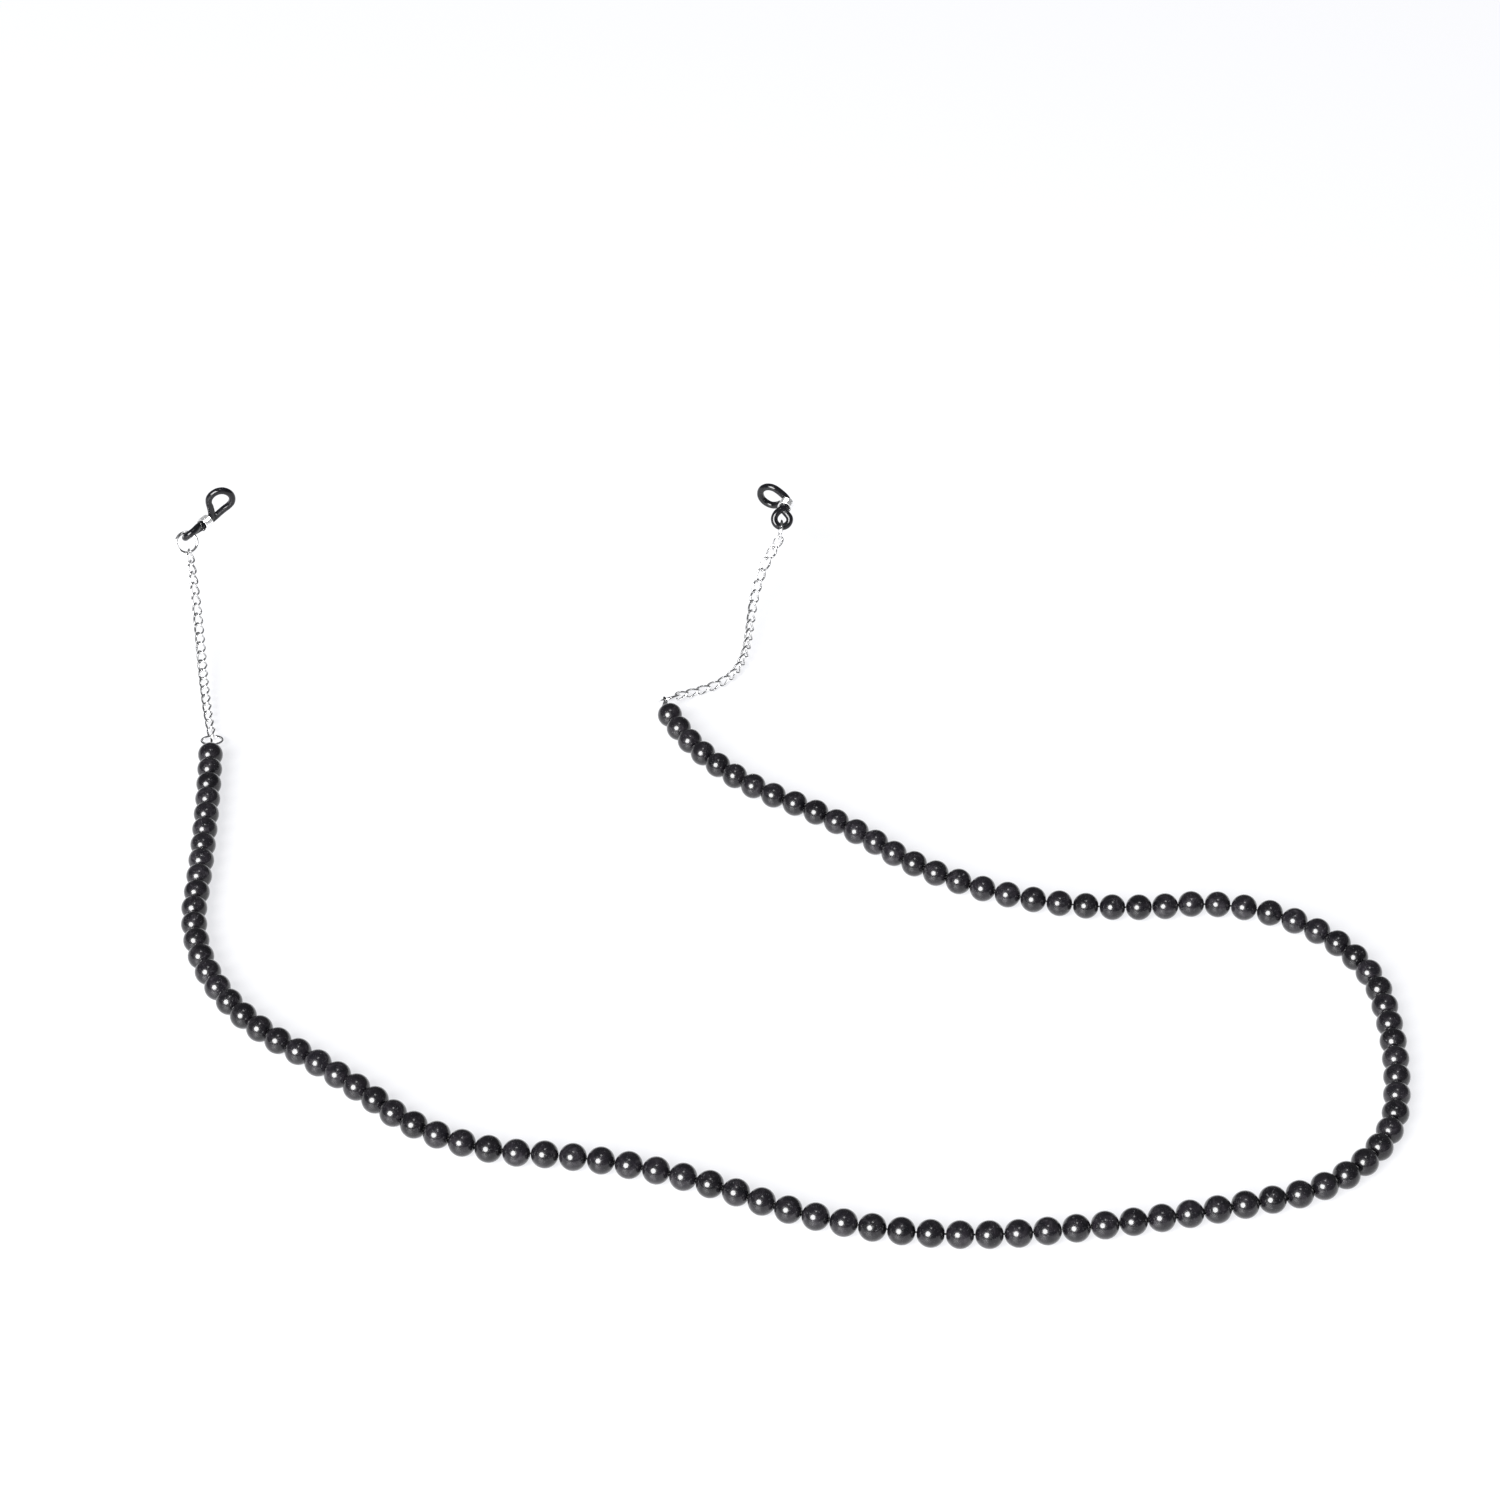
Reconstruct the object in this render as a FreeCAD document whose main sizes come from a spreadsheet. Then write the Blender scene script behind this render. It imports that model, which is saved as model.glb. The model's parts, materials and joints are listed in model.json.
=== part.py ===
import FreeCAD, Part
import Sketcher
import math
import os

# Beaded eyeglass retainer: a strand of round beads on a cord, and at each end a
# crimp, an end ring, a curb chain, a top ring, and a silicone band that a wire
# coil pinches into a temple loop and a small lobe.
#
# Frame: millimetres, +Z up, the table the strap lies on is Z = 0, and the origin
# is the middle of the strap's footprint on that table. The loops are held up by
# the temples they grip, so both chains climb away from the table.

V = FreeCAD.Vector
UP = V(0, 0, 1)

# ---------------------------------------------------------------- dimensions

DIMENSIONS = {
    "bead_diameter": 6.0,
    "bead_bore": 1.1,
    "bore_mouth": 1.5,
    "bead_pitch": 6.06,
    "cord_diameter": 0.44,
    "cord_break": 0.1,
    "crimp_diameter": 1.7,
    "crimp_bore": 1.0,
    "crimp_length": 1.6,
    "crimp_standoff": 0.5,
    "cord_lead": 2.2,
    "cord_entry": 0.2,
    "cord_tail": 0.1,
    "cord_loop_length": 2.4,
    "cord_loop_width": 2.3,
    "running_gap": 0.05,
    "ring_slack": 0.35,
    "link_slack": 0.1,
    "end_ring_outer": 5.8,
    "end_ring_wire": 0.7,
    "top_ring_outer": 6.0,
    "top_ring_wire": 0.75,
    "ring_sweep": 356.0,
    "link_pitch": 3.12,
    "link_wire": 0.55,
    "link_width": 2.4,
    "link_twist": 90.0,
    "band_diameter": 1.8,
    "temple_loop_outer": 7.8,
    "temple_land": 4.4,
    "lobe_outer": 5.7,
    "waist_offset": 0.45,
    "waist_length": 5.2,
    "lobe_to_waist": 2.1,
    "coil_wire": 0.38,
    "coil_pitch": 0.41,
    "coil_turns": 6.0,
    "coil_seat": 1.3,
}

# ------------------------------------------------------------ how it is laid

# The strand is a row of runs. Each run is an arc of equal chords, one bead pitch
# long: how many beads it adds, and how far it turns to the left in degrees.
STRAND_START = V(-129.0, 43.5, 0)
STRAND_HEADING = -85.0
STRAND_RUNS = [
    (10, -4.0),
    (10, 51.0),
    (5, -8.0),
    (6, 41.0),
    (8, -23.0),
    (10, 35.0),
    (9, 9.0),
    (7, 64.0),
    (6, 15.0),
    (10, 93.0),
    (7, -30.0),
    (5, -24.0),
    (5, 13.0),
    (7, -35.0),
]

LINKS_PER_PIECE = 2
CHAIN_PIECES = 10
CHAIN_STEPS = 4000
CORD_LOOP_STEPS = 40

# Where each bent bar is guided: angles round its bends, in degrees, and shares of
# the waist's length, both from the temple loop towards the lobe.
LINK_BEND = (-90, -45, 0, 45, 90)
TEMPLE_BEND = (0, 45, 90, 135)
WAIST_SHARES = (0.9, 0.1)
LOBE_BEND = (80, 130, 180)

# How each end lies, from the strand outwards. crimp_direction and ring_direction
# are a heading, in degrees from +X towards +Y, and a pitch above the table.
# ring_far_turn is how far round the end ring the chain hangs, in degrees. The
# chain passes through the chain_through points. The other entries are directions,
# and temple_reach is the distance from the waist to the middle of the temple loop.
ENDS = {
    "left": {
        "crimp_direction": (94.6, -25.0),
        "ring_direction": (95.0, -10.0),
        "ring_normal": V(0.0, 0.2, 1.0),
        "ring_far_turn": 0.0,
        "chain_through": [V(-134.1, 75.2, 3.2), V(-138.2, 99.8, 9.8), V(-141.3, 114.2, 18.6)],
        "top_ring_direction": V(-0.3, 0.69, 0.64),
        "lobe_direction": V(0.75, 0.52, 0.39),
        "lobe_normal": V(0.55, -0.35, -0.65),
        "coil_direction": V(0.6, 0.796, 0.085),
        "temple_direction": V(0.423, -0.011, 0.905),
        "temple_normal": V(0.283, -0.948, -0.144),
        "temple_reach": 5.9,
    },
    "right": {
        "crimp_direction": (87.0, -6.0),
        "ring_direction": (62.0, -12.0),
        "ring_normal": V(-0.27, 0.51, 0.72),
        "ring_far_turn": -28.0,
        "chain_through": [
            V(-12.0, 73.0, 1.1),
            V(-5.5, 77.2, 1.3),
            V(1.2, 99.2, 4.7),
            V(6.4, 115.6, 14.6),
        ],
        "top_ring_direction": V(0.0, 0.0, 1.0),
        "lobe_direction": V(0.1, 0.57, 0.81),
        "lobe_normal": V(-0.05, 0.82, -0.57),
        "coil_direction": V(0.3, 0.95, 0.05),
        "temple_direction": V(-0.56, 0.82, 0.1),
        "temple_normal": V(-0.35, -0.92, -0.16),
        "temple_reach": 4.7,
    },
}


def make_sheet(doc):
    """The spreadsheet that holds every driving dimension, one named cell each."""
    sheet = doc.addObject("Spreadsheet::Sheet", "Dimensions")
    for row, (name, value) in enumerate(DIMENSIONS.items(), start=1):
        sheet.set(f"A{row}", name)
        sheet.set(f"B{row}", str(value))
        sheet.setAlias(f"B{row}", name)
    doc.recompute()
    return sheet


# ------------------------------------------------------------------- vectors


def unit(v):
    return v * (1.0 / v.Length)


def direction(heading, pitch=0.0):
    """The unit vector at a heading and a pitch, both in degrees."""
    h, p = math.radians(heading), math.radians(pitch)
    return V(math.cos(h) * math.cos(p), math.sin(h) * math.cos(p), math.sin(p))


def square_to(v, axis):
    """The unit vector nearest to v that is perpendicular to axis."""
    a = unit(axis)
    return unit(v - a * v.dot(a))


def turned(v, axis, degrees):
    return FreeCAD.Rotation(axis, degrees).multVec(v)


def placed(origin, x_axis, z_axis):
    """The placement whose X and Z axes point along the two given directions."""
    z = unit(z_axis)
    x = square_to(x_axis, z)
    return FreeCAD.Placement(origin, FreeCAD.Rotation(x, z.cross(x), z, "ZXY"))


# -------------------------------------------------------------------- layout


def lay_strand(size):
    """The bead centres, run by run."""
    point = V(STRAND_START.x, STRAND_START.y, size.bead_diameter / 2)
    heading = STRAND_HEADING
    runs = []
    for count, turn in STRAND_RUNS:
        run = [] if runs else [point]
        for _ in range(count):
            heading += turn / count
            point = point + direction(heading) * size.bead_pitch
            run.append(point)
        runs.append(run)
    return runs


def lay_end_ring(size, end, bead, outward):
    """Where the crimp, the cord's end loop and the end ring stand."""
    along = direction(*end["crimp_direction"])
    normal = unit(end["ring_normal"])
    side = square_to(normal, along)
    foot = bead + outward * (size.bead_diameter / 2 + size.crimp_standoff)
    tip = foot + along * (size.crimp_length + size.cord_loop_length)
    wire = size.end_ring_wire / 2
    radius = size.end_ring_outer / 2 - wire
    ring_along = square_to(direction(*end["ring_direction"]), normal)
    near = tip - ring_along * (size.cord_diameter / 2 + wire + size.ring_slack)
    centre = near + ring_along * radius
    far_along = turned(ring_along, normal, end["ring_far_turn"])
    far = centre + far_along * radius
    return {
        "foot": foot,
        "along": along,
        "side": side,
        "tip": tip,
        "centre": centre,
        "normal": normal,
        "ring_along": ring_along,
        "far_side": normal.cross(far_along),
        "chain_start": far - far_along * (wire + size.running_gap / 2 + size.link_slack),
    }


def lay_chain(size, end, start):
    """The points where one link of the chain hooks the next."""
    path = Part.BSplineCurve()
    path.interpolate([start] + end["chain_through"])
    last = path.LastParameter
    tail = unit(path.tangent(last)[0])
    hooks = [start]
    step = 0
    while len(hooks) <= CHAIN_PIECES * LINKS_PER_PIECE:
        here = hooks[-1]
        while step < CHAIN_STEPS:
            point = path.value(last * step / CHAIN_STEPS)
            if (point - here).Length >= size.link_pitch:
                break
            step += 1
        if step == CHAIN_STEPS:
            point = here + tail
        hooks.append(here + unit(point - here) * size.link_pitch)
    return hooks


def roll_of(bar, along):
    """The angle about along from level to a crossing bar, in degrees."""
    level = unit(UP.cross(along))
    return math.degrees(math.atan2(bar.dot(along.cross(level)), bar.dot(level)))


def lay_rolls(size, hooks, first_bar, last_bar):
    """The roll of each link, so the first and last cross their rings' wire squarely."""
    half_twist = size.link_twist / 2
    first = roll_of(first_bar, unit(hooks[1] - hooks[0])) - half_twist
    last = roll_of(last_bar, unit(hooks[-1] - hooks[-2])) + half_twist
    last -= 180 * round((last - first) / 180)
    links = len(hooks) - 1
    return [first + (last - first) * i / (links - 1) for i in range(links)]


def lay_band(size, end, hooks):
    """Where the top ring and the silicone band's loops and waist stand."""
    wire = size.top_ring_wire / 2
    radius = size.top_ring_outer / 2 - wire
    tube = size.band_diameter / 2
    lobe_radius = size.lobe_outer / 2 - tube
    lobe_normal = unit(end["lobe_normal"])
    lobe_along = square_to(end["lobe_direction"], lobe_normal)
    tube_along = unit(lobe_normal.cross(lobe_along))
    ring_along = square_to(end["top_ring_direction"], tube_along)
    last_link = unit(hooks[-1] - hooks[-2])
    near = hooks[-1] - last_link * (wire + size.running_gap / 2 + size.link_slack)
    ring = near + ring_along * radius
    hook = ring + ring_along * (radius - wire - tube - size.running_gap)
    lobe = hook + lobe_along * lobe_radius
    coil_along = unit(end["coil_direction"])
    waist_start = lobe + lobe_along * size.lobe_to_waist
    waist_end = waist_start + coil_along * size.waist_length
    temple_normal = unit(end["temple_normal"])
    temple_along = square_to(end["temple_direction"], temple_normal)
    return {
        "ring": ring,
        "ring_along": ring_along,
        "ring_normal": tube_along,
        "lobe": lobe,
        "lobe_along": lobe_along,
        "lobe_normal": lobe_normal,
        "waist_start": waist_start,
        "coil_along": coil_along,
        "temple": waist_end + temple_along * end["temple_reach"],
        "temple_along": temple_along,
        "temple_normal": temple_normal,
    }


def lay_out(size):
    """Every place in the strap, worked out from the sheet and the tables above."""
    runs = lay_strand(size)
    beads = [point for run in runs for point in run]
    outwards = {"left": unit(beads[0] - beads[1]), "right": unit(beads[-1] - beads[-2])}
    ends = {}
    for side, end in ENDS.items():
        bead = beads[0] if side == "left" else beads[-1]
        ring = lay_end_ring(size, end, bead, outwards[side])
        hooks = lay_chain(size, end, ring["chain_start"])
        band = lay_band(size, end, hooks)
        top_bar = band["ring_normal"].cross(band["ring_along"])
        rolls = lay_rolls(size, hooks, ring["far_side"], top_bar)
        ends[side] = {"ring": ring, "hooks": hooks, "rolls": rolls, "band": band}
    return {"runs": runs, "ends": ends}


# --------------------------------------------------------------- solid tools


def swept(curve, radius, first, last):
    """A round bar along part of a curve, closed by a flat face at each end."""
    spine = Part.Wire([curve.toShape(first, last)])
    tangent = curve.tangent(first)[0]
    ring = Part.Wire([Part.makeCircle(radius, curve.value(first), tangent)])
    return spine.makePipeShell([ring], True, True)


def closed_bar(points, radius):
    """A round bar bent into a closed loop through the points."""
    curve = Part.BSplineCurve()
    curve.interpolate(Points=points, PeriodicFlag=True)
    first, last = curve.FirstParameter, curve.LastParameter
    middle = (first + last) / 2
    halves = [swept(curve, radius, first, middle), swept(curve, radius, middle, last)]
    return halves[0].fuse(halves[1]).removeSplitter().Solids[0]


def mitred_bar(points, radius):
    """A round bar in straight lengths, mitred at each point, with flat ends."""
    ring = Part.Wire([Part.makeCircle(radius, points[0], points[1] - points[0])])
    mitred = 1
    return Part.makePolygon(points).makePipeShell([ring], True, False, mitred)


def add_feature(doc, name, shape):
    feature = doc.addObject("Part::Feature", name)
    feature.Shape = shape
    feature.Label = name
    return feature


# ---------------------------------------------------------- bodies by sketch


def origin_plane(body, role):
    return next(f for f in body.Origin.OriginFeatures if f.Role == role)


def new_body(doc, name):
    body = doc.addObject("PartDesign::Body", name)
    body.Label = name
    return body


def new_sketch(body, name, role):
    sketch = body.newObject("Sketcher::SketchObject", name)
    sketch.AttachmentSupport = [(origin_plane(body, role), "")]
    sketch.MapMode = "FlatFace"
    return sketch


def bore_along_x(doc, body, name, cell):
    """Cuts a round hole along X right through the body, as wide as the cell says."""
    sketch = new_sketch(body, name + "_sketch", "YZ_Plane")
    circle = sketch.addGeometry(Part.Circle(V(0, 0, 0), V(0, 0, 1), 1.0), False)
    sketch.addConstraint(Sketcher.Constraint("Coincident", circle, 3, -1, 1))
    size = sketch.addConstraint(Sketcher.Constraint("Diameter", circle, 1.0))
    sketch.setExpression(f"Constraints[{size}]", f"Dimensions.{cell}")
    doc.recompute()
    pocket = body.newObject("PartDesign::Pocket", name)
    pocket.Profile = sketch
    pocket.Type = "ThroughAll"
    pocket.Midplane = True
    doc.recompute()
    return pocket


def make_bead_master(doc):
    """One bead at the origin: a turned ball, bored along X, with eased bore mouths."""
    body = new_body(doc, "bead_master")
    sketch = new_sketch(body, "bead_profile", "XY_Plane")
    arc = sketch.addGeometry(
        Part.ArcOfCircle(Part.Circle(V(0, 0, 0), V(0, 0, 1), 3.0), 0, math.pi), False
    )
    chord = sketch.addGeometry(Part.LineSegment(V(-3, 0, 0), V(3, 0, 0)), False)
    sketch.addConstraint(Sketcher.Constraint("Coincident", arc, 3, -1, 1))
    sketch.addConstraint(Sketcher.Constraint("Coincident", arc, 1, chord, 2))
    sketch.addConstraint(Sketcher.Constraint("Coincident", arc, 2, chord, 1))
    sketch.addConstraint(Sketcher.Constraint("Horizontal", chord))
    radius = sketch.addConstraint(Sketcher.Constraint("Radius", arc, 3.0))
    sketch.setExpression(f"Constraints[{radius}]", "Dimensions.bead_diameter / 2")
    doc.recompute()
    ball = body.newObject("PartDesign::Revolution", "ball")
    ball.Profile = sketch
    ball.ReferenceAxis = (sketch, ["H_Axis"])
    ball.Angle = 360.0
    doc.recompute()
    bore = bore_along_x(doc, body, "bore", "bead_bore")
    rims = [
        f"Edge{i}"
        for i, edge in enumerate(bore.Shape.Edges, start=1)
        if isinstance(edge.Curve, Part.Circle) and edge.Closed
    ]
    ease = body.newObject("PartDesign::Chamfer", "bore_mouths")
    ease.Base = (bore, rims)
    ease.setExpression("Size", "(Dimensions.bore_mouth - Dimensions.bead_bore) / 2")
    doc.recompute()
    return body


def make_crimp(doc, name, placement):
    """A crimp tube: a short sleeve along X that grips the cord and its tail."""
    body = new_body(doc, name)
    sketch = new_sketch(body, name + "_profile", "YZ_Plane")
    circle = sketch.addGeometry(Part.Circle(V(0, 0, 0), V(0, 0, 1), 1.0), False)
    sketch.addConstraint(Sketcher.Constraint("Coincident", circle, 3, -1, 1))
    size = sketch.addConstraint(Sketcher.Constraint("Diameter", circle, 1.0))
    sketch.setExpression(f"Constraints[{size}]", "Dimensions.crimp_diameter")
    doc.recompute()
    sleeve = body.newObject("PartDesign::Pad", name + "_sleeve")
    sleeve.Profile = sketch
    sleeve.setExpression("Length", "Dimensions.crimp_length")
    doc.recompute()
    rounded = body.newObject("PartDesign::Fillet", name + "_edges")
    rims = [
        f"Edge{i}"
        for i, edge in enumerate(sleeve.Shape.Edges, start=1)
        if isinstance(edge.Curve, Part.Circle)
    ]
    rounded.Base = (sleeve, rims)
    rounded.setExpression("Radius", "(Dimensions.crimp_diameter - Dimensions.crimp_bore) / 4")
    doc.recompute()
    bore_along_x(doc, body, name + "_bore", "crimp_bore")
    body.Placement = placement
    return body


# -------------------------------------------------------------------- strand


def make_bead_run(doc, name, master, run, before, after):
    """One run of beads, each bored along the line of its neighbours."""
    beads = []
    for i, centre in enumerate(run):
        last_one = run[i - 1] if i > 0 else before
        next_one = run[i + 1] if i + 1 < len(run) else after
        bead = master.Shape.copy()
        bead.Placement = placed(centre, next_one - last_one, UP)
        beads.append(bead)
    return add_feature(doc, name, Part.makeCompound(beads))


def end_loop_points(size, ring):
    """The cord from the crimp's foot, round its end loop and back, outwards."""
    lane = (size.cord_diameter + size.running_gap) / 2
    along, side, foot, tip = ring["along"], ring["side"], ring["foot"], ring["tip"]
    half = size.cord_loop_width / 2
    mouth = foot + along * size.crimp_length
    round_centre = tip - along * half
    corners = [
        foot + side * lane + along * size.cord_entry,
        foot + side * lane + along * (size.crimp_length / 2),
        mouth + side * lane,
        round_centre + side * half,
        tip,
        round_centre - side * half,
        mouth - side * lane,
        foot - side * lane + along * (size.crimp_length / 2),
        foot - side * lane + along * size.cord_tail,
    ]
    curve = Part.BSplineCurve()
    curve.interpolate(corners)
    return curve.discretize(CORD_LOOP_STEPS)


def make_cord_run(doc, name, size, run, before, after, loops):
    """The cord inside one run of beads, with a hairline break at each joint."""
    clear = size.cord_break / 2
    first, last = run[0], run[-1]
    if before is None:
        start = loops["left"][::-1] + [first + unit(first - run[1]) * size.cord_lead]
    else:
        start = [first + unit(before - first) * (size.bead_pitch / 2 - clear)]
    if after is None:
        finish = [last + unit(last - run[-2]) * size.cord_lead] + loops["right"]
    else:
        finish = [last + unit(after - last) * (size.bead_pitch / 2 - clear)]
    bar = mitred_bar(start + run + finish, size.cord_diameter / 2)
    return add_feature(doc, name, bar)


def make_strand(doc, size, layout, master):
    runs = layout["runs"]
    loops = {s: end_loop_points(size, e["ring"]) for s, e in layout["ends"].items()}
    made = []
    for i, run in enumerate(runs):
        before = runs[i - 1][-1] if i > 0 else None
        after = runs[i + 1][0] if i + 1 < len(runs) else None
        ahead = after if after is not None else run[-1] * 2 - run[-2]
        behind = before if before is not None else run[0] * 2 - run[1]
        number = f"{i + 1:02d}"
        made.append(make_bead_run(doc, "bead_run_" + number, master, run, behind, ahead))
        made.append(make_cord_run(doc, "cord_run_" + number, size, run, before, after, loops))
    return made


# ------------------------------------------------------------ rings and chain


def make_ring(doc, name, outer_cell, wire_cell, placement):
    """A wire ring, nearly closed, with a narrow slit that ends on its own X axis."""
    ring = doc.addObject("Part::Torus", name)
    ring.Label = name
    ring.setExpression("Radius1", f"(Dimensions.{outer_cell} - Dimensions.{wire_cell}) / 2")
    ring.setExpression("Radius2", f"Dimensions.{wire_cell} / 2")
    ring.setExpression("Angle3", "Dimensions.ring_sweep")
    doc.recompute()
    ring.Placement = placement
    return ring


def link_shape(size):
    """One curb link along X: an oval of wire, twisted a quarter turn end to end."""
    half_width = (size.link_width - size.link_wire) / 2
    half_length = (size.link_pitch + size.link_wire + size.running_gap) / 2
    straight = half_length - half_width
    points = []
    for end in (1, -1):
        for degrees in LINK_BEND:
            angle = math.radians(degrees)
            x = end * (straight + half_width * math.cos(angle))
            y = end * half_width * math.sin(angle)
            twist = math.radians(size.link_twist / 2) * x / half_length
            points.append(V(x, y * math.cos(twist), y * math.sin(twist)))
    points = points[2:] + points[:2]
    return closed_bar(points, size.link_wire / 2)


def make_chain(doc, side, size, hooks, rolls):
    """The curb chain, in pieces of neighbouring links."""
    link = link_shape(size)
    made = []
    for piece in range(CHAIN_PIECES):
        links = []
        for i in range(piece * LINKS_PER_PIECE, (piece + 1) * LINKS_PER_PIECE):
            along = unit(hooks[i + 1] - hooks[i])
            one = link.copy()
            up = turned(square_to(UP, along), along, rolls[i])
            one.Placement = placed((hooks[i] + hooks[i + 1]) * 0.5, along, up)
            links.append(one)
        name = f"{side}_chain_{piece + 1:02d}"
        made.append(add_feature(doc, name, Part.makeCompound(links)))
    return made


# ------------------------------------------------------------ band and coil


def band_limb_points(size, band, sign):
    """One limb of the band, from the far side of the temple loop to the lobe's end."""
    tube = size.band_diameter / 2
    loop_radius = size.temple_loop_outer / 2 - tube
    lobe_radius = size.lobe_outer / 2 - tube
    waist = band["coil_along"]
    loop_side = unit(band["temple_normal"].cross(band["temple_along"])) * sign
    lobe_side = unit(band["lobe_normal"].cross(band["lobe_along"])) * sign
    if loop_side.dot(lobe_side) < 0:
        loop_side = loop_side * -1
    waist_side = square_to(loop_side + lobe_side, waist)
    points = []
    for degrees in TEMPLE_BEND:
        angle = math.radians(degrees)
        arm = band["temple_along"] * math.cos(angle) + loop_side * math.sin(angle)
        points.append(band["temple"] + arm * loop_radius)
    for share in WAIST_SHARES:
        middle = band["waist_start"] + waist * (size.waist_length * share)
        points.append(middle + waist_side * size.waist_offset)
    for degrees in LOBE_BEND:
        angle = math.radians(degrees)
        arm = band["lobe_along"] * math.cos(angle) + lobe_side * math.sin(angle)
        points.append(band["lobe"] + arm * lobe_radius)
    return points


def make_band(doc, name, size, band):
    """The silicone band: a closed loop of round bar, pinched together at its waist."""
    right = band_limb_points(size, band, 1)
    left = band_limb_points(size, band, -1)
    points = right + left[-2:0:-1]
    curve = Part.BSplineCurve()
    curve.interpolate(Points=points, PeriodicFlag=True)
    turn = curve.parameter(points[len(right) - 1])
    tube = size.band_diameter / 2
    limbs = [
        swept(curve, tube, curve.FirstParameter, turn),
        swept(curve, tube, turn, curve.LastParameter),
    ]
    whole = limbs[1].fuse(limbs[0])
    land = Part.makeCylinder(
        size.temple_land / 2,
        4 * tube,
        band["temple"] - band["temple_normal"] * (2 * tube),
        band["temple_normal"],
    )
    return add_feature(doc, name, whole.cut(land).Solids[0])


def make_coil(doc, name, size, band):
    """The wire coil round the waist, a helix of round wire along its own Z."""
    helix = doc.addObject("Part::Helix", name + "_path")
    helix.setExpression("Pitch", "Dimensions.coil_pitch")
    helix.setExpression("Height", "Dimensions.coil_pitch * Dimensions.coil_turns")
    bore = "Dimensions.waist_offset + Dimensions.band_diameter / 2 + Dimensions.running_gap"
    helix.setExpression("Radius", f"{bore} + Dimensions.coil_wire / 2")
    section = doc.addObject("Part::Circle", name + "_section")
    section.setExpression("Radius", "Dimensions.coil_wire / 2")
    doc.recompute()
    section.Placement = placed(V(float(helix.Radius), 0, 0), V(1, 0, 0), V(0, 1, 0))
    coil = doc.addObject("Part::Sweep", name)
    coil.Label = name
    coil.Sections = [section]
    coil.Spine = (helix, ["Edge1"])
    coil.Solid = True
    coil.Frenet = True
    doc.recompute()
    start = band["waist_start"] + band["coil_along"] * size.coil_seat
    coil.Placement = placed(start, band["temple_normal"], band["coil_along"])
    return coil


def make_end(doc, side, size, end):
    """Everything that hangs from one end of the strand."""
    ring, band, hooks = end["ring"], end["band"], end["hooks"]
    made = [
        make_crimp(doc, side + "_crimp", placed(ring["foot"], ring["along"], ring["side"])),
        make_ring(
            doc,
            side + "_end_ring",
            "end_ring_outer",
            "end_ring_wire",
            placed(ring["centre"], ring["normal"].cross(ring["ring_along"]), ring["normal"]),
        ),
        make_ring(
            doc,
            side + "_top_ring",
            "top_ring_outer",
            "top_ring_wire",
            placed(band["ring"], band["ring_normal"].cross(band["ring_along"]), band["ring_normal"]),
        ),
        make_band(doc, side + "_band", size, band),
        make_coil(doc, side + "_coil", size, band),
    ]
    return made + make_chain(doc, side, size, hooks, end["rolls"])


# ----------------------------------------------------------- check and write


def check(doc, parts):
    """Stops with a message if any object failed or any part isn't a sound solid."""
    for item in doc.Objects:
        if "Invalid" in item.State or "Error" in item.State:
            raise RuntimeError(f"{item.Name} failed: {item.State}")
    for part in parts:
        if part.Shape.isNull() or not part.Shape.isValid() or not part.Shape.Solids:
            raise RuntimeError(f"{part.Label} isn't a valid solid")


def build():
    doc = FreeCAD.newDocument("eyeglass_retainer")
    size = make_sheet(doc)
    layout = lay_out(size)
    master = make_bead_master(doc)
    parts = make_strand(doc, size, layout, master)
    for side in ENDS:
        parts += make_end(doc, side, size, layout["ends"][side])
    doc.recompute()
    check(doc, parts + [master])
    os.makedirs("parts", exist_ok=True)
    for part in parts:
        part.Shape.exportStep(f"parts/{part.Label}.step")


build()
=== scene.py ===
import json
import math

import bpy
import numpy as np
from mathutils import Matrix, Vector


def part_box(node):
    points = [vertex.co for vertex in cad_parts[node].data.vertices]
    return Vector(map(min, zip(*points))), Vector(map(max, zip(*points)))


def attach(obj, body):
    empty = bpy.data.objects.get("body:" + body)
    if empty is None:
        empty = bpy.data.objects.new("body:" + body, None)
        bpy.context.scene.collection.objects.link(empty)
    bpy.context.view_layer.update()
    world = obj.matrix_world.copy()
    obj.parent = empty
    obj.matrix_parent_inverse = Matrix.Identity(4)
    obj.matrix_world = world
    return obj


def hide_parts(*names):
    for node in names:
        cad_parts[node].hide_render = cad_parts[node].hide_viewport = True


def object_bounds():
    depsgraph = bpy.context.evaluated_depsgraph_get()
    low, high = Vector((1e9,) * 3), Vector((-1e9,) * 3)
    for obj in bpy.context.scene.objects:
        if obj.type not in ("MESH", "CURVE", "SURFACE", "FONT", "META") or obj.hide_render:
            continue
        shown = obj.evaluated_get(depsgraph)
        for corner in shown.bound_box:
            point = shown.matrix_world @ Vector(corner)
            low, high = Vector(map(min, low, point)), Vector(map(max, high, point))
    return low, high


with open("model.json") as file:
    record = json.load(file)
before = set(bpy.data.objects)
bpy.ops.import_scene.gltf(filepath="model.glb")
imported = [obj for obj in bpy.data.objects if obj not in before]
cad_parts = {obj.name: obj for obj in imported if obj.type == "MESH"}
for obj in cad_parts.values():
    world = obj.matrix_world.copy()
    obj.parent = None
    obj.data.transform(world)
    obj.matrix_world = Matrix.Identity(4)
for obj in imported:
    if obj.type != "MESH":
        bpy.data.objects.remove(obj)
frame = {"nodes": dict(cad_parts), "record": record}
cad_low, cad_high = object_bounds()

# The beaded retainer strap: lathed beads with slight wear, moulded silicone
# bands and waxed cord stand in for the plain CAD solids. The metal parts are the
# CAD solids themselves, given a bright wire finish. Lengths are in metres, and
# names that end in _MM hold millimetres.

MM = 0.001
SEED = 20

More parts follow.
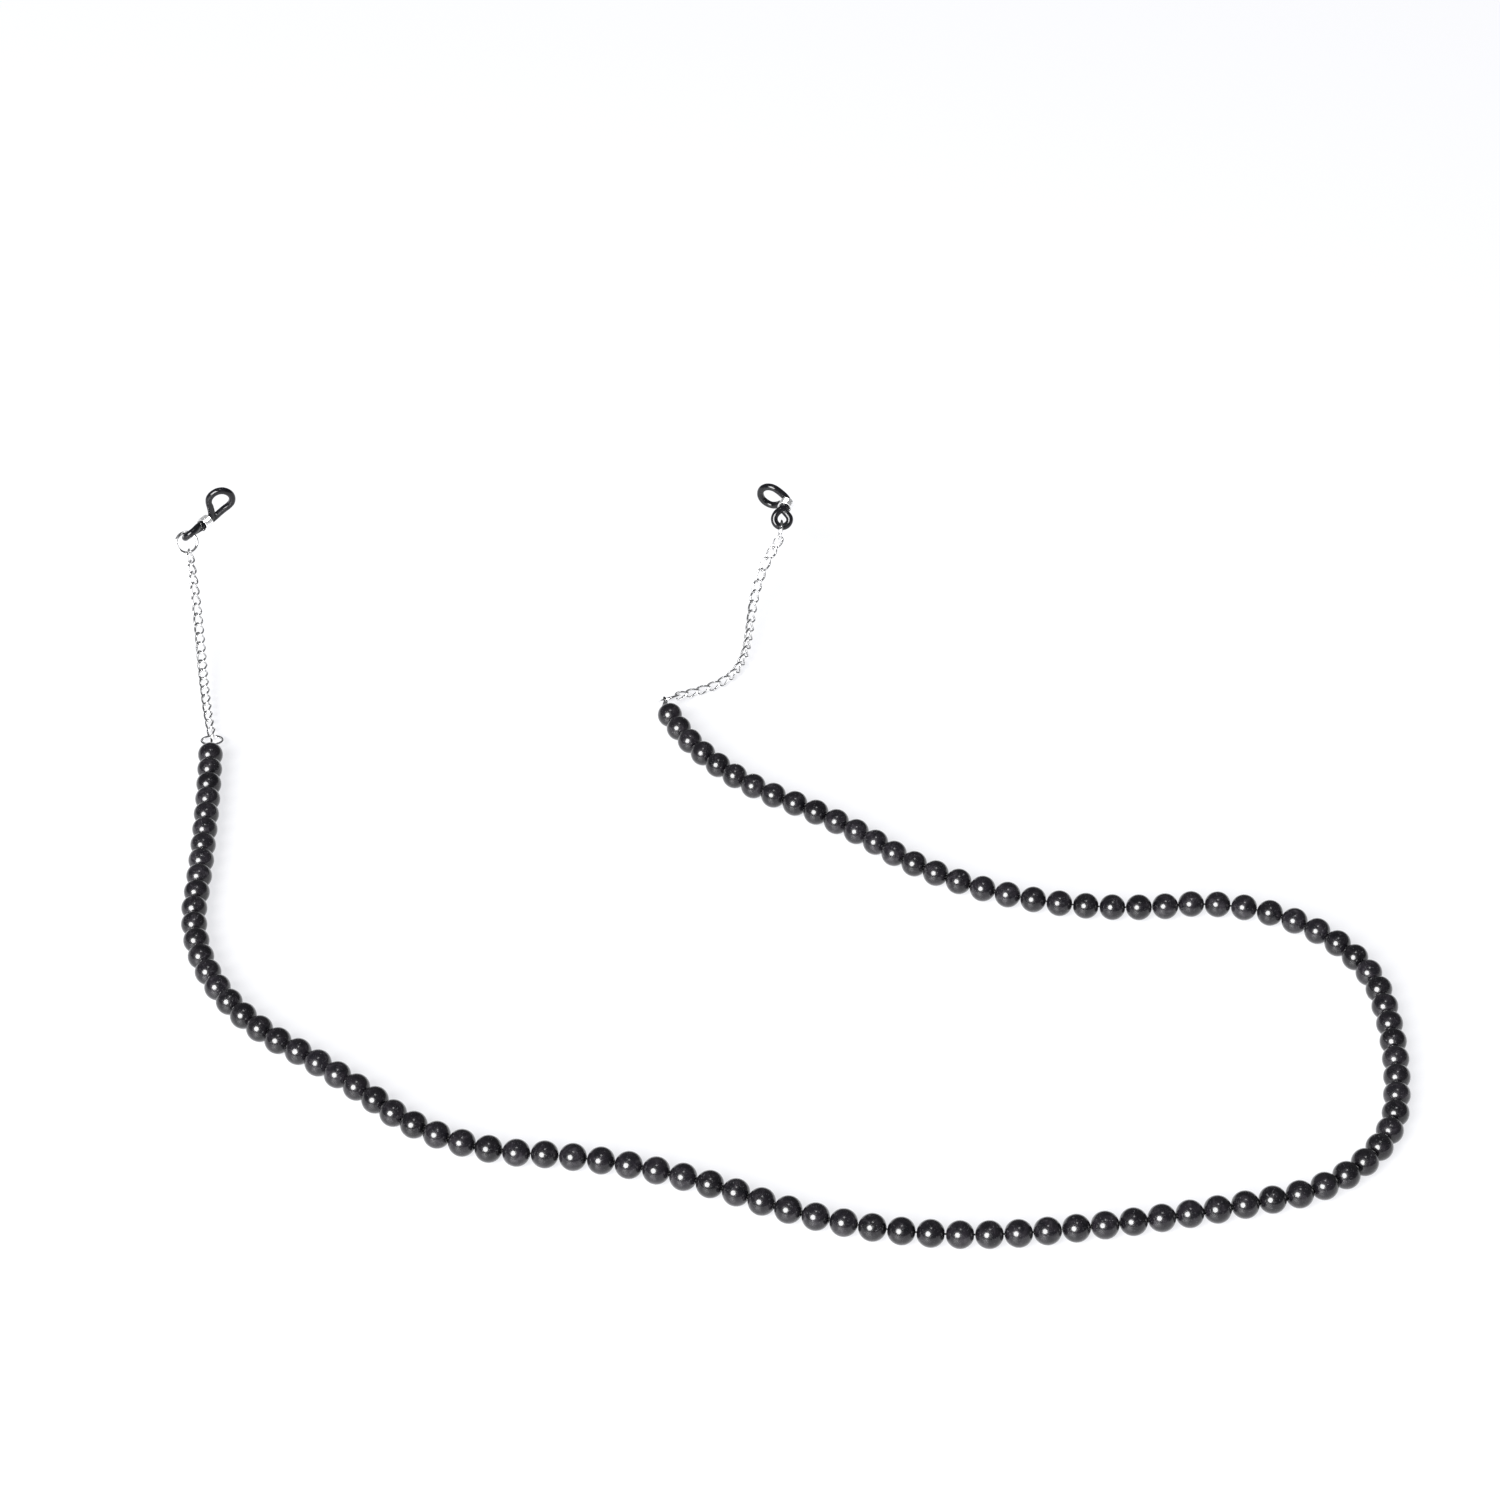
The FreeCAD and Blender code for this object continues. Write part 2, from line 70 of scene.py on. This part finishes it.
# Beads. The mesh has BEAD_AROUND points round the bore, and BEAD_ALONG from one
# bore mouth to the other. The sizes below are shares of a bead's radius.
BEAD_AROUND = 48
BEAD_ALONG = 29
BEAD_MOUTH_STEPS = 6
BEAD_MOUTH_ANGLE = 0.30
BEAD_MOUTH_DEPTH = 0.09
BEAD_BORE_SHARE = 0.19
BEAD_SKIN_FROM = 0.9
BEAD_SKIN_DEPTH = 0.1
BEAD_SIZE_SPREAD = 0.006
BEAD_LUMPS = 0.003
BEAD_LUMP_WAVES = 6
BEAD_LUMP_PITCH = (2.0, 7.0)
BEAD_LUMP_PHASE = 6.28
BEAD_CHIPS = 7
BEAD_CHIP_WIDTH = (0.08, 0.2)
BEAD_CHIP_DEPTH = 0.014
BEAD_CHIP_DEPTH_SHARE = (0.2, 1.0)

# Silicone and cord: the size of the new grid, how often it is smoothed, and how
# strong the grain is.
BAND_VOXEL_MM, BAND_ROUNDS, BAND_GRAIN_MM = 0.11, 12, 0.05
CORD_VOXEL_MM, CORD_ROUNDS, CORD_GRAIN_MM = 0.07, 2, 0.07
GRAIN_SIZE_IN_VOXELS = 12

# The swell of the silicone just past each end of the coil.
SWELL_REACH_MM = 2.2
SWELL_HEIGHT_MM = 0.07
SWELL_PEAK_MM = 0.55
SWELL_WIDTH_MM = 0.45

# Reading the CAD meshes.
WELD_MM = 0.0005
SMALLEST_ISLAND = 8
BALL_SHELL = 0.95
BALL_FITS = 2

# The stage. The camera's place is measured from the floor under the part's middle.
FLOOR_REACH = 15.0
FLOOR_GREY = 0.22
FLOOR_GLOW = 0.76
WORLD_GLOW = 0.12
LIGHT_DISTANCE = 2.6
CAMERA_PLACE = (0.0008, -0.7411, 0.5621)
CAMERA_DIP_DEGREES = 35.353
CAMERA_LENS_MM = 96.0
CAMERA_SENSOR_MM = 36.0
CAMERA_CLIP = (0.05, 20.0)

BODY_OF = {
    node: body
    for body, nodes in frame["record"]["behaviour"]["bodies"].items()
    for node in nodes
}
SLOT_OF = {part["node"]: part["material_slot"] for part in frame["record"]["subparts"]}


def nodes_in(slot):
    """The CAD nodes that take their finish from one slot, in name order."""
    return sorted(node for node, name in SLOT_OF.items() if name == slot)


# ------------------------------------------------------------------ materials


class Shader:
    """A procedural material and the few node-building steps used here."""

    def __init__(self, name, **inputs):
        self.material = bpy.data.materials.new(name)
        self.material.use_nodes = True
        self.nodes = self.material.node_tree.nodes
        self.links = self.material.node_tree.links
        self.surface = self.nodes["Principled BSDF"]
        for key, value in inputs.items():
            self.surface.inputs[key.replace("_", " ")].default_value = value
        self.place = self.nodes.new("ShaderNodeTexCoord").outputs["Object"]

    def noise(self, scale, detail=3.0, stretch=None, warp=0.0):
        """Noise with a scale in waves per millimetre."""
        place = self.place
        if stretch:
            mapping = self.nodes.new("ShaderNodeMapping")
            mapping.inputs["Scale"].default_value = stretch
            self.links.new(place, mapping.inputs["Vector"])
            place = mapping.outputs["Vector"]
        node = self.nodes.new("ShaderNodeTexNoise")
        node.inputs["Scale"].default_value = scale / MM
        node.inputs["Detail"].default_value = detail
        node.inputs["Distortion"].default_value = warp
        self.links.new(place, node.inputs["Vector"])
        return node.outputs["Fac"]

    def attribute(self, name):
        """A value stored on the mesh's points."""
        node = self.nodes.new("ShaderNodeAttribute")
        node.attribute_name = name
        return node.outputs["Fac"]

    def ramp(self, fac, *stops):
        """A colour ramp through (place, colour) stops."""
        node = self.nodes.new("ShaderNodeValToRGB")
        elements = node.color_ramp.elements
        while len(elements) < len(stops):
            elements.new(0.5)
        for element, (place, colour) in zip(elements, stops):
            element.position = place
            element.color = (*colour, 1.0)
        self.links.new(fac, node.inputs["Fac"])
        return node.outputs["Color"]

    def mix(self, blend, fac, first, second):
        """Two colours mixed. fac may be a number or a socket."""
        node = self.nodes.new("ShaderNodeMix")
        node.data_type = "RGBA"
        node.blend_type = blend
        if isinstance(fac, float):
            node.inputs[0].default_value = fac
        else:
            self.links.new(fac, node.inputs[0])
        self.links.new(first, node.inputs[6])
        self.links.new(second, node.inputs[7])
        return node.outputs[2]

    def bump(self, height, strength, distance):
        """Fine relief. distance is in millimetres."""
        node = self.nodes.new("ShaderNodeBump")
        node.inputs["Strength"].default_value = strength
        node.inputs["Distance"].default_value = distance * MM
        self.links.new(height, node.inputs["Height"])
        self.links.new(node.outputs["Normal"], self.surface.inputs["Normal"])

    def drive(self, key, output):
        """Feeds one of the surface's inputs from a socket."""
        self.links.new(output, self.surface.inputs[key])


def grey(value):
    """A neutral colour."""
    return (value, value, value)


def bead_material():
    """Charcoal beads, semi-gloss and mottled, with fine pale scuffs."""
    shader = Shader("bead", IOR=1.35, Coat_Weight=0.8, Coat_Roughness=0.07, Coat_IOR=1.4)
    clouds = shader.noise(0.55, detail=6.0, warp=0.6)
    mottle = shader.ramp(
        clouds,
        (0.30, (0.002, 0.002, 0.003)),
        (0.55, (0.007, 0.006, 0.008)),
        (0.78, (0.024, 0.022, 0.026)),
    )
    tone = shader.ramp(shader.attribute("tone"), (0.0, grey(0.6)), (1.0, grey(1.35)))
    base = shader.mix("MULTIPLY", 1.0, mottle, tone)
    scuffs = shader.noise(1.6, detail=9.0, stretch=(1.0, 0.35, 1.8), warp=2.5)
    worn = shader.ramp(scuffs, (0.63, grey(0.0)), (0.72, grey(1.0)))
    pale = shader.ramp(clouds, (0.0, (0.06, 0.06, 0.065)), (1.0, (0.10, 0.10, 0.105)))
    shader.drive("Base Color", shader.mix("MIX", worn, base, pale))
    shader.drive("Roughness", shader.ramp(scuffs, (0.35, grey(0.20)), (0.72, grey(0.42))))
    shader.bump(scuffs, 0.25, 0.06)
    return shader.material


def silicone_material():
    """Smooth black silicone, glossy, with a faint moulded skin."""
    shader = Shader("silicone", IOR=1.38, Coat_Weight=0.15, Coat_Roughness=0.08)
    skin = shader.noise(1.1, detail=4.0)
    shader.drive(
        "Base Color",
        shader.ramp(skin, (0.3, (0.003, 0.003, 0.004)), (0.8, (0.009, 0.009, 0.011))),
    )
    shader.drive("Roughness", shader.ramp(skin, (0.3, grey(0.13)), (0.8, grey(0.24))))
    shader.bump(skin, 0.12, 0.05)
    return shader.material


def cord_material():
    """Waxed black cord, dull, with fine fibres."""
    shader = Shader("cord", IOR=1.45)
    fibres = shader.noise(6.0, detail=5.0, stretch=(1.0, 1.0, 2.5))
    shader.drive(
        "Base Color",
        shader.ramp(fibres, (0.3, (0.008, 0.008, 0.009)), (0.75, (0.035, 0.034, 0.034))),
    )
    shader.drive("Roughness", shader.ramp(fibres, (0.3, grey(0.5)), (0.8, grey(0.75))))
    shader.bump(fibres, 0.4, 0.05)
    return shader.material


def metal_material(name, metallic, bright, dull, roughness):
    """Bright plated wire: faint drawing marks and slightly duller patches."""
    shader = Shader(name, Metallic=metallic)
    patches = shader.noise(0.5, detail=4.0)
    marks = shader.noise(4.0, detail=4.0, stretch=(1.0, 1.0, 0.3))
    shader.drive("Base Color", shader.ramp(patches, (0.3, grey(dull)), (0.65, grey(bright))))
    shader.drive(
        "Roughness",
        shader.ramp(marks, (0.3, grey(roughness)), (0.75, grey(roughness + 0.12))),
    )
    shader.bump(marks, 0.08, 0.03)
    return shader.material


# ------------------------------------------------------------------ mesh tools


def welded(mesh):
    """The mesh's points with doubles merged, and its faces as point indices."""
    points = np.empty(len(mesh.vertices) * 3, np.float32)
    mesh.vertices.foreach_get("co", points)
    points = points.reshape(-1, 3).astype(float)
    keys = np.round(points / (WELD_MM * MM)).astype(np.int64)
    _, first, same = np.unique(keys, axis=0, return_index=True, return_inverse=True)
    same = same.reshape(-1)
    faces = [[int(same[i]) for i in face.vertices] for face in mesh.polygons]
    return points[first], faces


def islands(points, faces):
    """The connected islands of a mesh, each as an array of point indices."""
    owner = list(range(len(points)))

    def top(i):
        while owner[i] != i:
            owner[i] = owner[owner[i]]
            i = owner[i]
        return i

    for face in faces:
        first = top(face[0])
        for other in face[1:]:
            owner[top(other)] = first
    groups = {}
    for i in range(len(points)):
        groups.setdefault(top(i), []).append(i)
    return [np.array(group) for group in groups.values() if len(group) > SMALLEST_ISLAND]


def ball_of(points):
    """Centre and radius of the ball that best fits the outermost of these points."""
    centre = (points.min(0) + points.max(0)) / 2
    for _ in range(BALL_FITS):
        far = np.linalg.norm(points - centre, axis=1)
        outer = points[far > BALL_SHELL * far.max()]
        rows = np.hstack([2 * outer, np.ones((len(outer), 1))])
        answer = np.linalg.lstsq(rows, (outer**2).sum(1), rcond=None)[0]
        centre = answer[:3]
        radius = math.sqrt(answer[3] + centre @ centre)
    return centre, radius


def new_mesh(name, points, faces, material):
    """A smooth-shaded object made from points and faces."""
    mesh = bpy.data.meshes.new(name)
    mesh.from_pydata([tuple(p) for p in points], [], [tuple(f) for f in faces])
    mesh.validate()
    mesh.materials.append(material)
    mesh.shade_smooth()
    obj = bpy.data.objects.new(name, mesh)
    bpy.context.scene.collection.objects.link(obj)
    return obj


def stand_in(obj, node):
    """obj is shown in place of one CAD node, on that node's body."""
    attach(obj, BODY_OF[node])
    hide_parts(node)


# ----------------------------------------------------------------------- beads


def bead_outline():
    """Half outline of a bead of radius 1, as (along the bore, out from it)."""
    mouth = BEAD_MOUTH_ANGLE
    outline = [
        (math.cos(a), math.sin(a))
        for a in np.linspace(mouth, math.pi - mouth, BEAD_ALONG)
    ]
    lip, rim = math.cos(mouth), math.sin(mouth)
    throat = lip - BEAD_MOUTH_DEPTH
    rounding = [
        (
            throat + (lip - throat) * math.cos(t),
            BEAD_BORE_SHARE + (rim - BEAD_BORE_SHARE) * (1 - math.sin(t)),
        )
        for t in np.linspace(0, math.pi / 2, BEAD_MOUTH_STEPS)[1:]
    ]
    far_end = [(-along, out) for along, out in rounding]
    bore = [(along, BEAD_BORE_SHARE) for along in (-throat / 2, 0.0, throat / 2)]
    return outline + far_end + bore + rounding[::-1]


OUTLINE = bead_outline()


def bead_points(centre, radius, axis, rng):
    """Points of one lathed bead, with faint lumps and a few shallow chips."""
    axis = axis / np.linalg.norm(axis)
    side = np.cross(axis, [0.0, 0.0, 1.0])
    side /= np.linalg.norm(side)
    up = np.cross(side, axis)
    start = rng.uniform(0, 2 * math.pi)
    turns = start + np.arange(BEAD_AROUND) * 2 * math.pi / BEAD_AROUND
    along = np.array([p[0] for p in OUTLINE])[:, None]
    out = np.array([p[1] for p in OUTLINE])[:, None]
    rays = (
        along[..., None] * axis
        + (out * np.cos(turns))[..., None] * side
        + (out * np.sin(turns))[..., None] * up
    ).reshape(-1, 3)
    reach = np.linalg.norm(rays, axis=1)
    skin = np.clip((reach - BEAD_SKIN_FROM) / BEAD_SKIN_DEPTH, 0, 1)
    lumps = np.zeros(len(rays))
    for _ in range(BEAD_LUMP_WAVES):
        wave = rng.normal(size=3)
        wave *= rng.uniform(*BEAD_LUMP_PITCH) / np.linalg.norm(wave)
        lumps += np.sin(rays @ wave + rng.uniform(0, BEAD_LUMP_PHASE)) / BEAD_LUMP_WAVES
    sunk = BEAD_LUMPS * (1 + lumps)
    for _ in range(BEAD_CHIPS):
        spot = rng.normal(size=3)
        spot /= np.linalg.norm(spot)
        width = rng.uniform(*BEAD_CHIP_WIDTH)
        depth = BEAD_CHIP_DEPTH * rng.uniform(*BEAD_CHIP_DEPTH_SHARE)
        away = np.linalg.norm(rays - spot, axis=1)
        sunk += depth * np.exp(-((away / width) ** 2))
    scale = radius * (1 - rng.uniform(0, BEAD_SIZE_SPREAD))
    return centre + rays * (scale * (1 - sunk * skin))[:, None]


def bead_faces(first):
    """Quads of one bead whose points start at index first."""
    rows, around = len(OUTLINE), BEAD_AROUND
    return [
        (
            first + r * around + c,
            first + r * around + (c + 1) % around,
            first + (r + 1) % rows * around + (c + 1) % around,
            first + (r + 1) % rows * around + c,
        )
        for r in range(rows)
        for c in range(around)
    ]


def in_order(balls, start):
    """The beads in the order the cord meets them, walking from start."""
    left, place, row = list(balls), np.array(start), []
    while left:
        away = [np.linalg.norm(ball[1] - place) for ball in left]
        nearest = left.pop(int(np.argmin(away)))
        row.append(nearest)
        place = nearest[1]
    return row


def middle_of(node):
    """The middle of a CAD node's box."""
    low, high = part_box(node)
    return (low + high) / 2


def make_beads(material):
    """One piece for each run of beads, standing in for that run's CAD node."""
    balls = []
    for node in nodes_in("bead"):
        points, faces = welded(frame["nodes"][node].data)
        for island in islands(points, faces):
            centre, radius = ball_of(points[island])
            balls.append((node, centre, radius))
    row = in_order(balls, middle_of("left_crimp"))
    rng = np.random.default_rng(SEED)
    runs = {}
    for i, (node, centre, radius) in enumerate(row):
        before = row[max(i - 1, 0)][1]
        after = row[min(i + 1, len(row) - 1)][1]
        points, faces, tones = runs.setdefault(node, ([], [], []))
        made = bead_points(centre, radius, after - before, rng)
        faces.extend(bead_faces(len(points)))
        points.extend(made)
        tones.extend([rng.uniform(0, 1)] * len(made))
    for node, (points, faces, tones) in runs.items():
        obj = new_mesh(node.replace("bead_run", "beads"), points, faces, material)
        attribute = obj.data.attributes.new("tone", "FLOAT", "POINT")
        attribute.data.foreach_set("value", np.array(tones, np.float32))
        stand_in(obj, node)


# -------------------------------------------------------------- soft materials


def reskinned(node, name, material, voxel, rounds, grain):
    """A finely gridded copy of a CAD node, with its edges eased and its skin
    given a little grain. voxel and grain are in millimetres, and so is the mesh
    while it is worked, because a voxel in metres would be too small."""
    points, faces = welded(frame["nodes"][node].data)
    obj = new_mesh(name, points / MM, faces, material)
    remesh = obj.modifiers.new("grid", "REMESH")
    remesh.mode = "VOXEL"
    remesh.voxel_size = voxel
    remesh.use_smooth_shade = True
    ease = obj.modifiers.new("ease", "SMOOTH")
    ease.factor = 0.5
    ease.iterations = rounds
    texture = bpy.data.textures.new(name, "CLOUDS")
    texture.noise_scale = GRAIN_SIZE_IN_VOXELS * voxel
    skin = obj.modifiers.new("grain", "DISPLACE")
    skin.texture = texture
    skin.texture_coords = "LOCAL"
    skin.strength = grain
    skin.mid_level = 0.5
    graph = bpy.context.evaluated_depsgraph_get()
    mesh = bpy.data.meshes.new_from_object(obj.evaluated_get(graph))
    old = obj.data
    obj.modifiers.clear()
    obj.data = mesh
    bpy.data.meshes.remove(old)
    mesh.transform(Matrix.Scale(MM, 4))
    mesh.shade_smooth()
    return obj


def long_axis(node):
    """Middle, direction and half length of a long thin CAD node."""
    points, _ = welded(frame["nodes"][node].data)
    middle = (points.min(0) + points.max(0)) / 2
    axis = np.linalg.svd(points - points.mean(0), full_matrices=False)[2][0]
    reach = (points - middle) @ axis
    middle = middle + axis * (reach.min() + reach.max()) / 2
    return middle, axis, (reach.max() - reach.min()) / 2


def swell_at_coil(obj, coil):
    """The silicone bulges a little where the coil lets go of it."""
    middle, axis, half = long_axis(coil)
    mesh = obj.data
    points = np.empty(len(mesh.vertices) * 3, np.float32)
    normals = np.empty(len(mesh.vertices) * 3, np.float32)
    mesh.vertices.foreach_get("co", points)
    mesh.vertex_normals.foreach_get("vector", normals)
    points, normals = points.reshape(-1, 3).astype(float), normals.reshape(-1, 3)
    beyond = np.abs((points - middle) @ axis) - half
    away = np.linalg.norm(np.cross(points - middle, axis), axis=1)
    near = (away < SWELL_REACH_MM * MM) & (beyond > 0)
    past_peak = (beyond - SWELL_PEAK_MM * MM) / (SWELL_WIDTH_MM * MM)
    bulge = SWELL_HEIGHT_MM * MM * np.exp(-(past_peak**2)) * near
    points += normals * bulge[:, None]
    mesh.vertices.foreach_set("co", points.astype(np.float32).ravel())
    mesh.update()


def make_bands(material):
    """The two silicone bands, standing in for their CAD nodes."""
    feel = (BAND_VOXEL_MM, BAND_ROUNDS, BAND_GRAIN_MM)
    for node in nodes_in("silicone"):
        obj = reskinned(node, node + "_silicone", material, *feel)
        swell_at_coil(obj, node.replace("band", "coil"))
        stand_in(obj, node)


def make_cords(material):
    """The lengths of cord, standing in for their CAD nodes."""
    feel = (CORD_VOXEL_MM, CORD_ROUNDS, CORD_GRAIN_MM)
    for node in nodes_in("cord"):
        obj = reskinned(node, node + "_waxed", material, *feel)
        stand_in(obj, node)


# ----------------------------------------------------------------------- metal


def finish_metal():
    """The CAD metal parts keep their own mesh, with smooth shading and plating."""
    wire = metal_material("bright_wire", 1.0, 0.93, 0.80, 0.08)
    coil = metal_material("coil_wire", 0.85, 0.98, 0.92, 0.10)
    for node in nodes_in("bright_metal"):
        obj = frame["nodes"][node]
        obj.data.materials.clear()
        obj.data.materials.append(coil if "coil" in node else wire)
        obj.data.shade_smooth()


# ----------------------------------------------------------------------- stage


def floor_material():
    """A pale table with a faint gloss and a glow that makes it read as white."""
    shader = Shader("table", Roughness=0.32, IOR=1.4)
    shader.surface.inputs["Base Color"].default_value = (*grey(FLOOR_GREY), 1.0)
    shader.surface.inputs["Emission Color"].default_value = (0.965, 0.97, 1.0, 1.0)
    shader.surface.inputs["Emission Strength"].default_value = FLOOR_GLOW
    return shader.material


def make_floor(level):
    """A square table top at one height."""
    reach = FLOOR_REACH
    corners = [(-reach, -reach), (reach, -reach), (reach, reach), (-reach, reach)]
    points = [(x, y, level) for x, y in corners]
    floor = new_mesh("table", points, [(0, 1, 2, 3)], floor_material())


def add_light(name, direction, width, energy, target):
    """A round softbox that faces target and stands along direction from it."""
    light = bpy.data.lights.new(name, "AREA")
    light.shape = "DISK"
    light.size = width
    light.energy = energy
    obj = bpy.data.objects.new(name, light)
    way = Vector(direction).normalized()
    obj.location = target + way * LIGHT_DISTANCE
    obj.rotation_mode = "QUATERNION"
    obj.rotation_quaternion = (-way).to_track_quat("-Z", "Y")
    bpy.context.scene.collection.objects.link(obj)


def make_world():
    """A dim, cool surround."""
    world = bpy.data.worlds.new("studio")
    world.use_nodes = True
    background = world.node_tree.nodes["Background"]
    background.inputs["Color"].default_value = (0.95, 0.97, 1.0, 1.0)
    background.inputs["Strength"].default_value = WORLD_GLOW
    bpy.context.scene.world = world


def make_camera(ground):
    """A level camera in front of the part, looking down at it."""
    camera = bpy.data.cameras.new("camera")
    camera.lens = CAMERA_LENS_MM
    camera.sensor_width = CAMERA_SENSOR_MM
    camera.clip_start, camera.clip_end = CAMERA_CLIP
    eye = bpy.data.objects.new("camera", camera)
    eye.location = ground + Vector(CAMERA_PLACE)
    eye.rotation_euler = (math.radians(90 - CAMERA_DIP_DEGREES), 0.0, 0.0)
    bpy.context.scene.collection.objects.link(eye)
    bpy.context.scene.camera = eye


def make_stage():
    """Floor, lights, surround and camera, all placed from the part's box."""
    centre = (cad_low + cad_high) / 2
    ground = Vector((centre.x, centre.y, cad_low.z))
    make_floor(ground.z)
    add_light("softbox", (-0.39, -0.75, 0.53), 1.8, 200.0, ground)
    add_light("overhead", (0.05, -0.15, 1.0), 0.6, 7.0, ground)
    make_world()
    bpy.context.scene.view_settings.view_transform = "Standard"
    make_camera(ground)


make_beads(bead_material())
make_bands(silicone_material())
make_cords(cord_material())
finish_metal()
make_stage()
